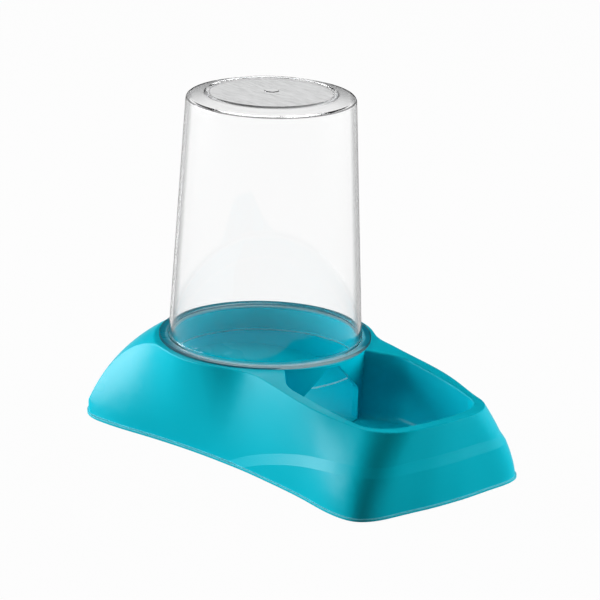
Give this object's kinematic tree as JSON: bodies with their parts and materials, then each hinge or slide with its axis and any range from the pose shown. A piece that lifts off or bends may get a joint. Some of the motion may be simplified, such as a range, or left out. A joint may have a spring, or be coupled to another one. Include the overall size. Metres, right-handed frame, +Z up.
{
  "type": "gravity pet feeder",
  "caption": "Gravity pet feeder with a clear tapered food reservoir that lifts out of a one-piece moulded base with an open bowl.",
  "frame": {"origin": "on the surface the feeder stands on, under the middle of the base's length and width", "axes": "+X from the reservoir to the bowl, +Y to the left seen from behind the reservoir, +Z up"},
  "size_m": [0.3026, 0.1782, 0.2275],
  "materials": {
    "turquoise_plastic": "smooth moulded, soft gloss",
    "clear_plastic": "clear, polished",
    "foot_rubber": "matt"
  },
  "bodies": {
    "base": {"feeder_base": "turquoise_plastic", "rubber_foot_front_left": "foot_rubber", "rubber_foot_front_right": "foot_rubber", "rubber_foot_rear_left": "foot_rubber", "rubber_foot_rear_right": "foot_rubber"},
    "reservoir": {"reservoir": "clear_plastic"}
  },
  "joints": [
    {"name": "reservoir_lift", "type": "slide", "parent": "base", "child": "reservoir", "axis": [0, 0, 1], "range_m": [0, 0.04]}
  ]
}
